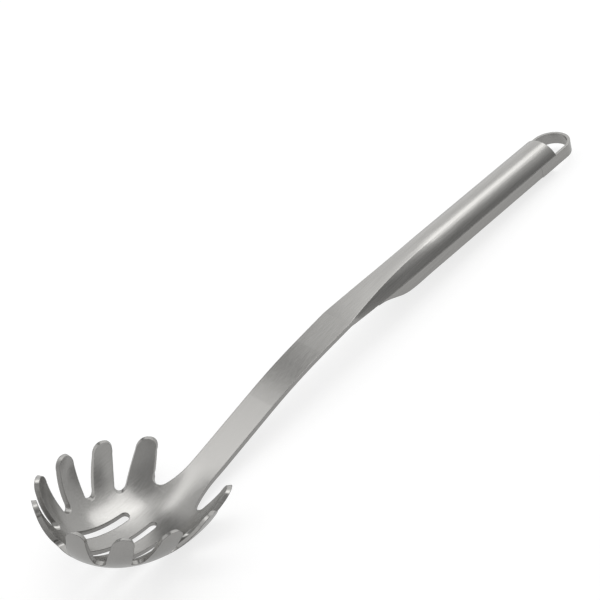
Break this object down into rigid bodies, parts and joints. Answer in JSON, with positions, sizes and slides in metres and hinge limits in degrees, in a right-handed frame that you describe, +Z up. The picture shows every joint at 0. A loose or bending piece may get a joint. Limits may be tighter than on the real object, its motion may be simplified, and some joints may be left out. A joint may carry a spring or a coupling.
{
  "type": "pasta server",
  "caption": "Stainless steel pasta server: a leaned dished bowl with round-tipped prongs and drain slots, a flat neck and a hollow two-shell handle with a strap loop for hanging.",
  "frame": {"origin": "centre of the overall box on the level that the lying server rests on", "axes": "+X along the server from the bowl to the hanging loop, +Z up out of the open bowl, Y across; the plane Y = 0 is the mirror plane"},
  "size_m": [0.3299, 0.0822, 0.0421],
  "materials": {
    "pressed_steel": "satin pressed stainless sheet",
    "handle_steel": "lengthwise brushed stainless sheet",
    "strap_steel": "brushed stainless strap"
  },
  "bodies": {
    "root": {"bowl_and_neck": "pressed_steel", "handle_upper_shell": "handle_steel", "handle_lower_shell": "handle_steel", "handle_end_plug": "handle_steel", "hanging_loop": "strap_steel"}
  },
  "joints": []
}
